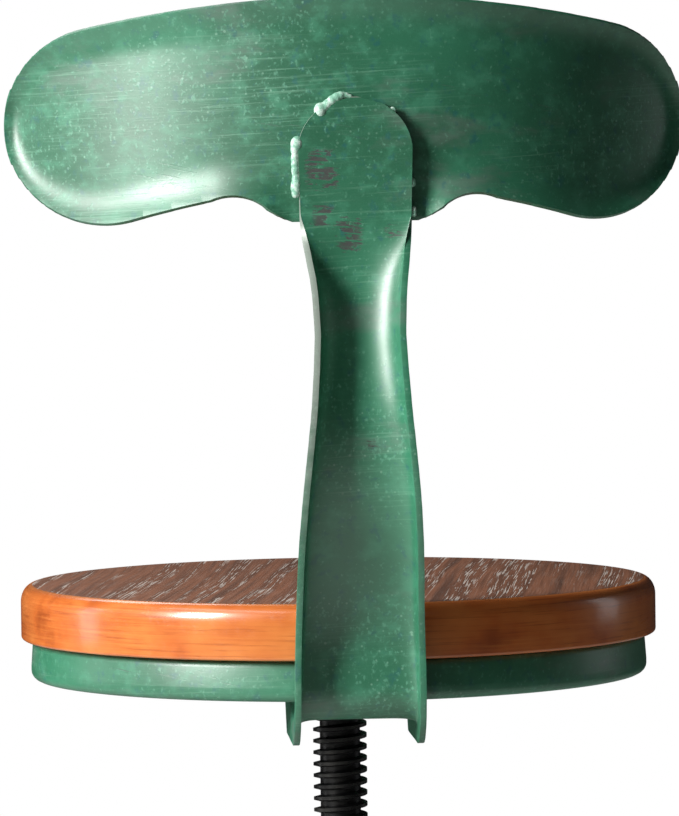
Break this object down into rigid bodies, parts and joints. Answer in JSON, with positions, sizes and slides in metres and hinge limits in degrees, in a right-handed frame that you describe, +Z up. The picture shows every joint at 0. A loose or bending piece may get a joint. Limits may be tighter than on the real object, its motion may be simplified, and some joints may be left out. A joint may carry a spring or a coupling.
{
  "type": "adjustable swivel stool",
  "caption": "Industrial swivel stool with a round wooden seat on a steel pan, a curved pressed-steel backrest on a channel upright, and a screw that raises the seat as it turns.",
  "frame": {"origin": "on the floor, on the swivel axis of the screw", "axes": "+Z up along the screw; the sitter faces +Y and the backrest stands at -Y; +X is to the sitter's right"},
  "size_m": [0.5128, 0.5128, 0.9805],
  "materials": {
    "seat_wood": "dark stained, lacquered hardwood board with open grain",
    "green_paint": "worn satin green paint on pressed steel, specked and rubbed",
    "ring_steel": "green paint worn through to steel on top",
    "black_steel": "blackened steel screw, satin and oiled",
    "fixing_steel": "dull zinc-plated steel",
    "bush_bronze": "turned bronze, dulled",
    "foot_rubber": "moulded black rubber"
  },
  "bodies": {
    "base": {"hub_tube": "green_paint", "hub_gussets": "green_paint", "leg_welds": "green_paint", "leg_right": "green_paint", "leg_front": "green_paint", "leg_left": "green_paint", "leg_back": "green_paint", "foot_ring": "ring_steel", "ring_welds": "green_paint", "bush_lock_screw": "fixing_steel", "threaded_bush": "bush_bronze", "guide_bush": "bush_bronze", "foot_right": "foot_rubber", "foot_front": "foot_rubber", "foot_left": "foot_rubber", "foot_back": "foot_rubber"},
    "stop": {"stop_washer": "fixing_steel"},
    "seat": {"seat_board": "seat_wood", "seat_pan": "green_paint", "board_screws": "fixing_steel", "spindle": "black_steel", "top_plate": "green_paint", "spindle_weld": "green_paint", "mount_bolts": "fixing_steel", "mount_washers": "fixing_steel", "mount_nuts": "fixing_steel", "arm_rivets": "green_paint", "end_bolt": "fixing_steel", "back_spine": "green_paint", "backrest_plate": "green_paint", "back_welds": "green_paint"}
  },
  "joints": [
    {"name": "seat_height", "type": "slide", "parent": "base", "child": "stop", "axis": [0, 0, 1], "range_m": [-0.0781, 0.0781]},
    {"name": "seat_turn", "type": "hinge", "parent": "stop", "child": "seat", "pos_m": [0, 0, 0.6], "axis": [0, 0, 1], "range_deg": [-4680, 4680]}
  ],
  "couplings": [
    {"joint": "seat_height", "follows": "seat_turn", "m_per_rad": 0.00095493}
  ]
}
